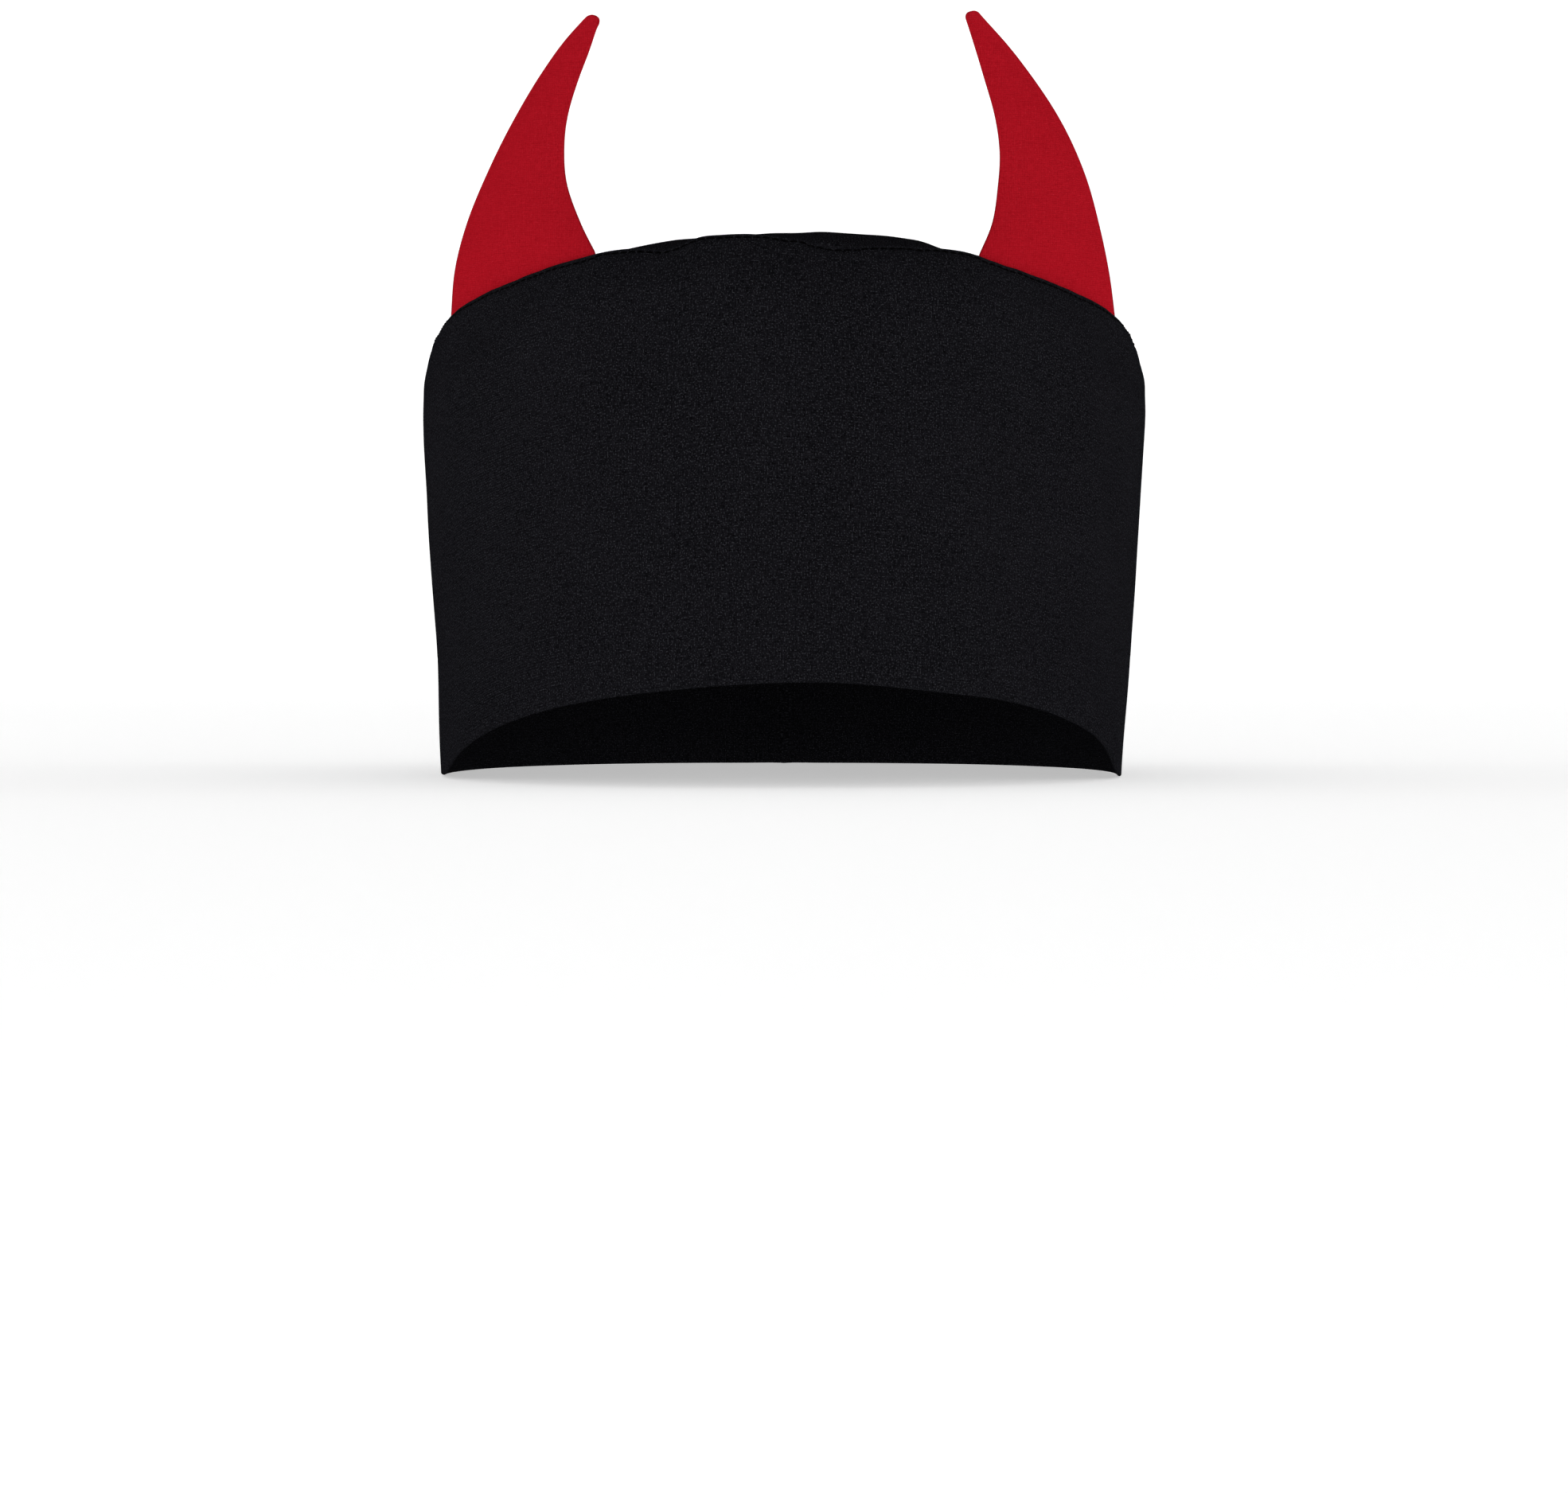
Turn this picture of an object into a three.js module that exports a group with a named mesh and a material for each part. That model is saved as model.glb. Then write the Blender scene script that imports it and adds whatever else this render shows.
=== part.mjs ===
// A black cloth cap with a deep band, a domed crown and two red horns sewn into the crown seam.
// Sizes are in millimetres. Z is up, the cap faces -Y and stands on its rim at Z = 0.
import * as THREE from "three";

// Cloth
const BAND_WALL = 2.0; // two layers of cotton, turned at the rim
const CROWN_WALL = 1.8; // measured straight down
const SEAM_DEPTH = 2.8; // upright end of the band's wall at the crown seam
const SEAM_GAP = 0.8; // between the band's end and the crown's edge
const HORN_SLOT = 2.4; // the same gap at the middle of a horn

// Plan of the cap: an oval with flatter sides. 2 is an ellipse.
const PLAN_POWER = 2.35;

// Rim: flat on the table at the sides and back, lifted in a straight slope over the brow
const ARCH_HEIGHT = 22.3; // at the front
const ARCH_FROM = 24.5; // in front of the cap's middle
const ARCH_EASE = 4; // length of the bend at the start of the slope

// Crown seam: tips back, with a few soft waves by bearing from the front
const SEAM_HEIGHT = 90.4; // at the sides
const SEAM_FRONT_SLOPE = 0.264;
const SEAM_BACK_SLOPE = 0.17;
const SEAM_EASE = 20; // length over which one slope turns into the other
const SEAM_WAVES = [
  { name: "left corner", at: -64, spread: 8, rise: 0.7 },
  { name: "left end", at: -25, spread: 5, rise: 0.9 },
  { name: "left dip", at: -16, spread: 4, rise: -0.9 },
  { name: "centre lift", at: -5.5, spread: 5, rise: 2.3 },
  { name: "centre dip", at: 6.5, spread: 5, rise: -1.2 },
  { name: "under the right horn", at: 42, spread: 12, rise: -0.6 },
  { name: "right corner", at: 65, spread: 8, rise: 0.7 },
];

// Band, by share of its height
const BAND_SECTIONS = [
  { name: "rim", share: 0, halfWidth: 75.1, halfFront: 96.0, halfBack: 95.6 },
  { name: "brow", share: 0.25, halfWidth: 76.4, halfFront: 97.6, halfBack: 97.5 },
  { name: "middle", share: 0.5, halfWidth: 78.1, halfFront: 98.7, halfBack: 98.8 },
  { name: "upper", share: 0.66, halfWidth: 79.0, halfFront: 99.0, halfBack: 99.0 },
  { name: "belly", share: 0.86, halfWidth: 79.6, halfFront: 98.2, halfBack: 97.6 },
  { name: "shoulder", share: 0.95, halfWidth: 78.9, halfFront: 95.8, halfBack: 94.6 },
  { name: "seam", share: 1, halfWidth: 76.5, halfFront: 91.0, halfBack: 89.5 },
];
const BAND_DENTS = [
  { name: "below the centre dip", at: 5, spread: 4, share: 0.93, reach: 0.07, depth: 0.9 },
  { name: "left corner", at: -57, spread: 7, share: 0.92, reach: 0.06, depth: 0.7 },
  { name: "right corner", at: 62, spread: 6, share: 0.93, reach: 0.05, depth: 0.7 },
];

// Crown
const CROWN_RISE = 15; // dome above the seam
const CROWN_FULLNESS = 3.7; // higher is flatter in the middle and rounder at the edge
const WAVE_FADE = 12; // higher keeps the seam's waves closer to the edge

// Horns: an upright sheet over the seam line. Out is from the middle of the cap, up is from the table.
const HORN_LEAN = 8; // degrees back
const TONGUE_DEPTH = 6; // part of the horn below the seam line
const BOW_FADE = 3; // higher keeps the curve of the seam closer to the horn's base
const PROFILE_FLATNESS = 2.6; // of the section across a horn
const PROFILE_ROUNDNESS = 0.8;
const HORN_LEFT = [
  { share: 0, outerOut: 72.3, outerUp: 99.2, innerOut: 39.8, innerUp: 111.6 },
  { share: 0.15, outerOut: 71.4, outerUp: 109.9, innerOut: 43.2, innerUp: 118.3 },
  { share: 0.31, outerOut: 68.5, outerUp: 120.0, innerOut: 46.2, innerUp: 126.6 },
  { share: 0.48, outerOut: 63.6, outerUp: 130.7, innerOut: 46.9, innerUp: 134.4 },
  { share: 0.65, outerOut: 57.8, outerUp: 141.3, innerOut: 46.2, innerUp: 141.9 },
  { share: 0.8, outerOut: 51.5, outerUp: 151.1, innerOut: 44.0, innerUp: 149.4 },
  { share: 0.91, outerOut: 46.1, outerUp: 158.1, innerOut: 41.6, innerUp: 155.6 },
  { share: 0.98, outerOut: 42.5, outerUp: 162.3, innerOut: 39.4, innerUp: 160.6 },
];
const HORN_LEFT_TIP = { out: 40.4, up: 163.6 };
const HORN_RIGHT = [
  { share: 0, outerOut: 71.4, outerUp: 100.0, innerOut: 41.1, innerUp: 111.0 },
  { share: 0.15, outerOut: 70.0, outerUp: 109.6, innerOut: 44.1, innerUp: 118.3 },
  { share: 0.31, outerOut: 67.7, outerUp: 119.9, innerOut: 45.5, innerUp: 126.5 },
  { share: 0.48, outerOut: 64.3, outerUp: 130.7, innerOut: 46.0, innerUp: 134.0 },
  { share: 0.65, outerOut: 59.1, outerUp: 141.4, innerOut: 44.9, innerUp: 141.8 },
  { share: 0.8, outerOut: 52.7, outerUp: 150.5, innerOut: 42.6, innerUp: 149.4 },
  { share: 0.91, outerOut: 46.7, outerUp: 157.6, innerOut: 40.6, innerUp: 155.9 },
  { share: 0.98, outerOut: 42.5, outerUp: 162.1, innerOut: 38.4, innerUp: 161.6 },
];
const HORN_RIGHT_TIP = { out: 39.8, up: 163.9 };
const HORN_FILL = [
  { share: 0, half: 0.8 },
  { share: 0.12, half: 1.5 },
  { share: 0.3, half: 2.1 },
  { share: 0.6, half: 1.8 },
  { share: 0.85, half: 1.2 },
  { share: 1, half: 0.7 },
];

// Facets
const COLUMNS = 90; // round the cap
const BAND_SHARES = [0, 0.12, 0.25, 0.38, 0.5, 0.58, 0.66, 0.74, 0.81, 0.87, 0.92, 0.95, 0.975, 1];
const BAND_INNER_SHARES = [0.94, 0.87, 0.78, 0.66, 0.5, 0.25, 0.12, 0];
const CROWN_SHARES = [1, 0.97, 0.93, 0.87, 0.78, 0.66, 0.5, 0.3, 0.1];
const CROWN_INNER_SHARES = [0.1, 0.4, 0.66, 0.84, 0.94, 1];
const HORN_SHARES = [0, 0.05, 0.12, 0.2, 0.31, 0.42, 0.54, 0.65, 0.76, 0.85, 0.92, 0.98];
const HORN_ACROSS = 10;

const radians = THREE.MathUtils.degToRad;
const mix = THREE.MathUtils.lerp;

// A smooth function through one column of a table
function through(rows, key) {
  const stops = Float32Array.from(rows, (row) => row.share);
  const values = Float32Array.from(rows, (row) => row[key]);
  const curve = new THREE.CubicInterpolant(stops, values, 1);
  return (share) => curve.evaluate(share)[0];
}

// Angle from one bearing to another, in degrees from -180 to 180
function turnBetween(from, to) {
  return THREE.MathUtils.euclideanModulo(to - from + 180, 360) - 180;
}

function bump(offset, spread) {
  return Math.exp(-((offset / spread) ** 2));
}

// Place on the cap's oval, with the front at bearing 0 and +X at bearing 90
function onOval(bearing, oval) {
  const turn = radians(bearing);
  const halfLength = Math.cos(turn) > 0 ? oval.halfFront : oval.halfBack;
  const across = Math.abs(Math.sin(turn) / oval.halfWidth) ** PLAN_POWER;
  const along = Math.abs(Math.cos(turn) / halfLength) ** PLAN_POWER;
  const reach = (across + along) ** (-1 / PLAN_POWER);
  return new THREE.Vector2(reach * Math.sin(turn), -reach * Math.cos(turn));
}

// Level direction out of the oval
function outOfOval(bearing, oval) {
  const place = onOval(bearing, oval);
  const halfLength = place.y < 0 ? oval.halfFront : oval.halfBack;
  const acrossShare = Math.abs(place.x / oval.halfWidth) ** (PLAN_POWER - 1);
  const alongShare = Math.abs(place.y / halfLength) ** (PLAN_POWER - 1);
  const across = (Math.sign(place.x) * acrossShare) / oval.halfWidth;
  const along = (Math.sign(place.y) * alongShare) / halfLength;
  return new THREE.Vector2(across, along).normalize();
}

const RIM_OVAL = BAND_SECTIONS[0];
const SEAM_OVAL = BAND_SECTIONS[BAND_SECTIONS.length - 1];

function rimHeight(bearing) {
  const ahead = -onOval(bearing, RIM_OVAL).y - ARCH_FROM;
  const slope = ARCH_HEIGHT / (RIM_OVAL.halfFront - ARCH_FROM - ARCH_EASE / 2);
  if (ahead <= 0) {
    return 0;
  }
  if (ahead < ARCH_EASE) {
    return (slope * ahead * ahead) / (2 * ARCH_EASE);
  }
  return slope * (ahead - ARCH_EASE / 2);
}

// The tipped surface that the seam lies in
function seamSurface(along) {
  const middleSlope = (SEAM_FRONT_SLOPE + SEAM_BACK_SLOPE) / 2;
  const turn = (SEAM_FRONT_SLOPE - SEAM_BACK_SLOPE) / 2;
  return SEAM_HEIGHT - middleSlope * along + turn * (Math.hypot(along, SEAM_EASE) - SEAM_EASE);
}

function seamWave(bearing) {
  let rise = 0;
  for (const wave of SEAM_WAVES) {
    rise += wave.rise * bump(turnBetween(wave.at, bearing), wave.spread);
  }
  return rise;
}

function seamHeight(bearing) {
  return seamSurface(onOval(bearing, SEAM_OVAL).y) + seamWave(bearing);
}

const bandWidth = through(BAND_SECTIONS, "halfWidth");
const bandFront = through(BAND_SECTIONS, "halfFront");
const bandBack = through(BAND_SECTIONS, "halfBack");

function bandForm(bearing, share) {
  const oval = { halfWidth: bandWidth(share), halfFront: bandFront(share), halfBack: bandBack(share) };
  const plan = onOval(bearing, oval);
  const height = mix(rimHeight(bearing), seamHeight(bearing), share);
  return new THREE.Vector3(plan.x, plan.y, height);
}

function bandNormal(bearing, share) {
  const shareStep = 0.004;
  const turnStep = 0.5;
  const low = Math.max(0, share - shareStep);
  const high = Math.min(1, share + shareStep);
  const up = bandForm(bearing, high).sub(bandForm(bearing, low));
  const round = bandForm(bearing + turnStep, share).sub(bandForm(bearing - turnStep, share));
  return round.cross(up).normalize();
}

function bandDent(bearing, share) {
  let depth = 0;
  for (const dent of BAND_DENTS) {
    const round = bump(turnBetween(dent.at, bearing), dent.spread);
    depth += dent.depth * round * bump(share - dent.share, dent.reach);
  }
  return depth;
}

// The dents stop short of the seam line itself
function bandOuter(bearing, share) {
  const depth = share < 1 ? bandDent(bearing, share) : 0;
  return bandForm(bearing, share).addScaledVector(bandNormal(bearing, share), -depth);
}

function bandInner(bearing, share) {
  const point = bandOuter(bearing, share);
  const normal = bandNormal(bearing, share);
  if (share === 0) {
    normal.setZ(0).normalize();
  }
  return point.addScaledVector(normal, -BAND_WALL);
}

// Rounded profile across a horn, 0 at both edges and 1 in the middle
function hornProfile(across) {
  const off = Math.min(1, Math.abs(2 * across - 1));
  return (1 - off ** PROFILE_FLATNESS) ** PROFILE_ROUNDNESS;
}

// Gap between the band's end and the crown's edge, wider where a horn passes through
function seamGap(bearing) {
  const plan = onOval(bearing, SEAM_OVAL);
  const base = plan.x < 0 ? HORN_LEFT[0] : HORN_RIGHT[0];
  if (plan.y > 0) {
    return SEAM_GAP;
  }
  const across = (Math.abs(plan.x) - base.innerOut) / (base.outerOut - base.innerOut);
  return mix(SEAM_GAP, HORN_SLOT, hornProfile(across));
}

// The seam's oval, drawn in
function insideSeam(inset) {
  return {
    halfWidth: SEAM_OVAL.halfWidth - inset,
    halfFront: SEAM_OVAL.halfFront - inset,
    halfBack: SEAM_OVAL.halfBack - inset,
  };
}

function crownOuter(bearing, share) {
  const plan = onOval(bearing, insideSeam(seamGap(bearing))).multiplyScalar(share);
  const dome = CROWN_RISE * (1 - share ** CROWN_FULLNESS);
  const wave = seamWave(bearing) * share ** WAVE_FADE;
  return new THREE.Vector3(plan.x, plan.y, seamSurface(plan.y) + dome + wave);
}

function crownInner(bearing, share) {
  const point = crownOuter(bearing, share);
  point.z -= CROWN_WALL;
  return point;
}

function ringRound(place, share) {
  const ring = [];
  for (let column = 0; column < COLUMNS; column += 1) {
    ring.push(place((column * 360) / COLUMNS, share));
  }
  return ring;
}

// Collects points and triangles, and gives a closed surface that faces outwards
class Skin {
  constructor() {
    this.points = [];
    this.triangles = [];
  }

  addPoint(point) {
    this.points.push(point);
    return this.points.length - 1;
  }

  addRing(ring) {
    return ring.map((point) => this.addPoint(point));
  }

  addTriangle(first, second, third) {
    this.triangles.push([first, second, third]);
  }

  join(ring, next) {
    const count = ring.length;
    for (let index = 0; index < count; index += 1) {
      const after = (index + 1) % count;
      this.addTriangle(ring[index], ring[after], next[after]);
      this.addTriangle(ring[index], next[after], next[index]);
    }
  }

  joinInTurn(rings) {
    for (let index = 0; index + 1 < rings.length; index += 1) {
      this.join(rings[index], rings[index + 1]);
    }
  }

  // Closes a ring to one point
  fan(ring, point) {
    const middle = this.addPoint(point);
    const count = ring.length;
    for (let index = 0; index < count; index += 1) {
      this.addTriangle(ring[index], ring[(index + 1) % count], middle);
    }
  }

  // Closes a flat ring straight across, first half to second half
  strip(ring) {
    const count = ring.length;
    for (let index = 0; index < count / 2; index += 1) {
      const near = ring[index];
      const nearNext = ring[index + 1];
      const far = ring[(count - index) % count];
      const farNext = ring[count - index - 1];
      if (near !== far) {
        this.addTriangle(near, far, farNext);
      }
      if (nearNext !== farNext) {
        this.addTriangle(near, farNext, nearNext);
      }
    }
  }

  volume() {
    let total = 0;
    for (const [first, second, third] of this.triangles) {
      const side = new THREE.Vector3().crossVectors(this.points[second], this.points[third]);
      total += this.points[first].dot(side) / 6;
    }
    return total;
  }

  geometry() {
    const outwards = this.volume() > 0;
    const indices = [];
    for (const [first, second, third] of this.triangles) {
      if (outwards) {
        indices.push(first, second, third);
      } else {
        indices.push(first, third, second);
      }
    }
    const result = new THREE.BufferGeometry().setFromPoints(this.points);
    result.setIndex(indices);
    result.computeVertexNormals();
    return result;
  }
}

function bandGeometry() {
  const skin = new Skin();
  const rings = BAND_SHARES.map((share) => skin.addRing(ringRound(bandOuter, share)));
  const turned = ringRound(bandOuter, 1);
  for (const point of turned) {
    point.z -= SEAM_DEPTH;
  }
  rings.push(skin.addRing(turned));
  for (const share of BAND_INNER_SHARES) {
    rings.push(skin.addRing(ringRound(bandInner, share)));
  }
  skin.joinInTurn(rings);
  skin.join(rings[rings.length - 1], rings[0]);
  return skin.geometry();
}

function crownGeometry() {
  const skin = new Skin();
  const upper = CROWN_SHARES.map((share) => skin.addRing(ringRound(crownOuter, share)));
  const lower = CROWN_INNER_SHARES.map((share) => skin.addRing(ringRound(crownInner, share)));
  skin.joinInTurn(upper);
  skin.joinInTurn(lower);
  skin.join(lower[lower.length - 1], upper[0]);
  skin.fan(upper[upper.length - 1], crownOuter(0, 0));
  const under = lower[0].slice().reverse();
  skin.fan(under, crownInner(0, 0));
  return skin.geometry();
}

function hornGeometry(rows, tip, side) {
  const outerOut = through(rows, "outerOut");
  const outerUp = through(rows, "outerUp");
  const innerOut = through(rows, "innerOut");
  const innerUp = through(rows, "innerUp");
  const fill = through(HORN_FILL, "half");
  const lean = Math.tan(radians(HORN_LEAN));

  // Bearing on an oval at this distance from the cap's middle
  function bearingOn(oval, out) {
    const share = (out / oval.halfWidth) ** PLAN_POWER;
    const ahead = oval.halfFront * (1 - share) ** (1 / PLAN_POWER);
    return side * THREE.MathUtils.radToDeg(Math.atan2(out, ahead));
  }

  // A place on the sheet, moved out of it by the half thickness
  function place(out, up, half) {
    const oval = insideSeam(seamGap(bearingOn(SEAM_OVAL, out)) / 2);
    const bearing = bearingOn(oval, out);
    const plan = onOval(bearing, oval).addScaledVector(outOfOval(bearing, oval), half);
    const back = Math.max(0, up - seamHeight(bearing)) * lean;
    return new THREE.Vector3(plan.x, plan.y + back, up);
  }

  // Straight rib from the inner to the outer edge, bowed at the base to follow the seam
  function rib(share, across) {
    const out = mix(innerOut(share), outerOut(share), across);
    const straight = mix(innerUp(share), outerUp(share), across);
    const baseOut = mix(innerOut(0), outerOut(0), across);
    const base = mix(innerUp(0), outerUp(0), across);
    const bow = seamHeight(bearingOn(SEAM_OVAL, baseOut)) - base;
    return { out, up: straight + bow * (1 - share) ** BOW_FADE };
  }

  function section(share, drop) {
    const ring = [];
    for (let index = 0; index < 2 * HORN_ACROSS; index += 1) {
      const back = index > HORN_ACROSS;
      const across = (back ? 2 * HORN_ACROSS - index : index) / HORN_ACROSS;
      const half = fill(share) * hornProfile(across) * (back ? -1 : 1);
      const { out, up } = rib(share, across);
      ring.push(place(out, up - drop, half));
    }
    return ring;
  }

  const skin = new Skin();
  const rings = [];
  rings.push(skin.addRing(section(0, TONGUE_DEPTH)));
  rings.push(skin.addRing(section(0, TONGUE_DEPTH / 2)));
  for (const share of HORN_SHARES) {
    rings.push(skin.addRing(section(share, 0)));
  }
  skin.joinInTurn(rings);
  skin.strip(rings[0]);
  skin.fan(rings[rings.length - 1], place(tip.out, tip.up, 0));
  return skin.geometry();
}

const blackCotton = { color: 0x18181b, roughness: 0.92, metalness: 0 };
const redCotton = { color: 0xa3111e, roughness: 0.85, metalness: 0 };

const cap = new THREE.Group();
cap.name = "devil_horn_cap";

function addPiece(name, geometry, cloth) {
  const mesh = new THREE.Mesh(geometry, new THREE.MeshStandardMaterial(cloth));
  mesh.name = name;
  cap.add(mesh);
}

addPiece("band", bandGeometry(), blackCotton);
addPiece("crown", crownGeometry(), blackCotton);
addPiece("horn_left", hornGeometry(HORN_LEFT, HORN_LEFT_TIP, -1), redCotton);
addPiece("horn_right", hornGeometry(HORN_RIGHT, HORN_RIGHT_TIP, 1), redCotton);

export default cap;
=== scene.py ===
# Devil horn cap: black cotton band and crown, with red cotton horns sewn into the crown seam.
# Metres, Z up. The cap faces -Y and stands on its rim.
import math

import bpy
import numpy as np
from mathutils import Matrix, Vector, noise


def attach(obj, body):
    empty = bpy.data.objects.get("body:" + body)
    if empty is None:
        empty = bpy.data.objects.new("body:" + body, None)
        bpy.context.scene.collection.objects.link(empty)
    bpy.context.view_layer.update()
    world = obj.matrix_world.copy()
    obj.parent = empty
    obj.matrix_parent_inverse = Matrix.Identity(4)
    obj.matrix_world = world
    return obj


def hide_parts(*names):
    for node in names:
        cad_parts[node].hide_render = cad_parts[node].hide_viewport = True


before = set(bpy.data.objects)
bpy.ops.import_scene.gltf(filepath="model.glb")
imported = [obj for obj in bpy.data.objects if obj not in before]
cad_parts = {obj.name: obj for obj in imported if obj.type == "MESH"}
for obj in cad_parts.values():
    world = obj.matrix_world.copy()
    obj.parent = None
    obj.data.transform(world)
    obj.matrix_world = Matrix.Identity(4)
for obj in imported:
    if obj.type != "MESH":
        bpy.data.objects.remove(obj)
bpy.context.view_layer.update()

scene = bpy.context.scene
mm = 0.001


def addObject(name, data):
    thing = bpy.data.objects.new(name, data)
    scene.collection.objects.link(thing)
    return thing


# Fields: sockets that take arithmetic, so one rule serves node trees and plain arrays

def onField(operation):
    return lambda field, *others: calc(field.tree, operation, field, *others)


class Field:
    def __init__(self, tree, socket):
        self.tree = tree
        self.socket = socket

    __add__ = __radd__ = onField("ADD")
    __mul__ = __rmul__ = onField("MULTIPLY")
    __sub__ = onField("SUBTRACT")
    __truediv__ = onField("DIVIDE")
    __pow__ = onField("POWER")
    __abs__ = onField("ABSOLUTE")

    def __rsub__(self, other):
        return calc(self.tree, "SUBTRACT", other, self)

    def __rtruediv__(self, other):
        return calc(self.tree, "DIVIDE", other, self)

    def __neg__(self):
        return self * -1.0


def plug(slot, value):
    if isinstance(value, Field):
        value.tree.links.new(value.socket, slot)
    else:
        slot.default_value = value


def calc(tree, operation, *values):
    node = tree.nodes.new("ShaderNodeMath")
    node.operation = operation
    for slot, value in zip(node.inputs, values):
        plug(slot, value)
    return Field(tree, node.outputs[0])


def eitherWay(operation, onArray):
    return lambda x: calc(x.tree, operation, x) if isinstance(x, Field) else onArray(x)


sine = eitherWay("SINE", np.sin)
cosine = eitherWay("COSINE", np.cos)
root = eitherWay("SQRT", np.sqrt)
wholePart = onField("FLOOR")
larger = onField("MAXIMUM")
smaller = onField("MINIMUM")


def above(x, limit):
    return calc(x.tree, "GREATER_THAN", x, limit) if isinstance(x, Field) else (x > limit) * 1.0


def noughtToOne(field):
    return smaller(larger(field, 0.0), 1.0)


def mix(a, b, share):
    return a + (b - a) * share


def setInputs(node, inputs):
    for key, value in inputs.items():
        plug(node.inputs[key], value)


def addNode(tree, kind, inputs=None, **settings):
    node = tree.nodes.new(kind)
    for name, value in settings.items():
        setattr(node, name, value)
    setInputs(node, inputs or {})
    return node


def out(node, key=0):
    return Field(node.id_data, node.outputs[key])


def combine(tree, x, y, z):
    return out(addNode(tree, "ShaderNodeCombineXYZ", {0: x, 1: y, 2: z}))


def separate(vector):
    node = addNode(vector.tree, "ShaderNodeSeparateXYZ", {0: vector})
    return [out(node, axis) for axis in range(3)]


# Geometry trees

socketKinds = {int: "NodeSocketInt", float: "NodeSocketFloat", bpy.types.Material: "NodeSocketMaterial"}


def geometryTree(name, sizes, takesPath=False):
    tree = bpy.data.node_groups.new(name, "GeometryNodeTree")
    if takesPath:
        tree.interface.new_socket("Path", in_out="INPUT", socket_type="NodeSocketGeometry")
    for label, value in sizes.items():
        tree.interface.new_socket(label, in_out="INPUT", socket_type=socketKinds[type(value)])
    tree.interface.new_socket("Cloth", in_out="OUTPUT", socket_type="NodeSocketGeometry")
    entry = tree.nodes.new("NodeGroupInput")
    return tree, {socket.name: Field(tree, socket) for socket in entry.outputs if socket.name}


def endTree(tree, geometry, material):
    made = addNode(tree, "GeometryNodeRealizeInstances", {0: geometry})
    worn = addNode(tree, "GeometryNodeSetMaterial", {"Geometry": out(made), "Material": material})
    addNode(tree, "NodeGroupOutput", {0: out(worn)})


# Applies an object's modifiers as a plain mesh and clears them
def plainMesh(holder):
    graph = bpy.context.evaluated_depsgraph_get()
    made = holder.evaluated_get(graph)
    mesh = bpy.data.meshes.new_from_object(made, preserve_all_data_layers=True, depsgraph=graph)
    holder.modifiers.clear()
    return mesh


# Runs a tree, on a path if it takes one, and gives the result as a plain mesh
def meshFromTree(tree, sizes, path=None):
    holder = addObject(tree.name, path or bpy.data.meshes.new(tree.name))
    modifier = holder.modifiers.new(tree.name, "NODES")
    modifier.node_group = tree
    for item in tree.interface.items_tree:
        if item.in_out == "INPUT" and item.name in sizes:
            modifier[item.identifier] = sizes[item.name]
    mesh = plainMesh(holder)
    bpy.data.objects.remove(holder)
    return mesh


def tableCurve(position, stops, values):
    low, high = min(values), max(values)
    node = addNode(position.tree, "ShaderNodeFloatCurve", {"Value": position})
    curve = node.mapping.curves[0]
    while len(curve.points) < len(stops):
        curve.points.new(0.5, 0.5)
    for point, stop, value in zip(curve.points, stops, values):
        point.location = (stop, (value - low) / (high - low))
    node.mapping.update()
    return out(node) * (high - low) + low


# Grid to be wrapped round the cap: its geometry, the turn from the front, and a step from nought to one
def startGrid(tree, size):
    grid = addNode(tree, "GeometryNodeMeshGrid", {
        "Size X": 2 * math.pi, "Size Y": 1.0, "Vertices X": size["Columns"], "Vertices Y": size["Rows"]})
    turn, level = separate(out(addNode(tree, "GeometryNodeInputPosition")))[:2]
    step = level + 0.5
    return out(grid), turn, mix(step, sine(step * (math.pi / 2)), size["Row Gather"])


def endGrid(tree, size, geometry, turn, share, place):
    for name, value in (("turn", turn), ("share", share)):
        stored = {"Geometry": geometry, "Name": name, "Value": value}
        geometry = out(addNode(tree, "GeometryNodeStoreNamedAttribute", stored, data_type="FLOAT"))
    placed = addNode(tree, "GeometryNodeSetPosition", {"Geometry": geometry, "Position": place})
    endTree(tree, out(placed), size["Cloth Material"])


# Runs a grid's tree and reads it back as columns of rows: places, turn and share
def formGrid(tree, sizes):
    mesh = meshFromTree(tree, sizes)
    count, shape = len(mesh.vertices), (sizes["Columns"], sizes["Rows"])
    points, turn, share = np.empty(count * 3), np.empty(count), np.empty(count)
    mesh.vertices.foreach_get("co", points)
    mesh.attributes["turn"].data.foreach_get("value", turn)
    mesh.attributes["share"].data.foreach_get("value", share)
    order = np.lexsort((share.round(6), turn.round(6)))
    points = points.reshape(-1, 3)[order].reshape(*shape, 3)
    return points, turn[order].reshape(shape), share[order].reshape(shape)


# The cap's rule: an oval plan, a rim that lifts over the brow and a crown seam that tips back

capForm = {
    "Plan Power": 2.35,
    "Arch Height": 22.3 * mm,
    "Arch From": 19.5 * mm,
    "Arch Ease": 14.0 * mm,
    "Seam Height": 90.4 * mm,
    "Front Slope": 0.264,
    "Back Slope": 0.17,
    "Slope Ease": 20.0 * mm,
}
planPower = capForm["Plan Power"]
bandSections = [  # share of the height, half width, half front, half back
    (0.00, 75.1 * mm, 96.0 * mm, 95.6 * mm),
    (0.25, 76.4 * mm, 97.6 * mm, 97.5 * mm),
    (0.50, 78.1 * mm, 98.7 * mm, 98.8 * mm),
    (0.66, 79.0 * mm, 99.0 * mm, 99.0 * mm),
    (0.86, 79.6 * mm, 98.2 * mm, 97.6 * mm),
    (0.95, 78.9 * mm, 95.8 * mm, 94.6 * mm),
    (1.00, 76.5 * mm, 91.0 * mm, 89.5 * mm),
]
rimOval = bandSections[0][1:]
seamOval = bandSections[-1][1:]
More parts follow.
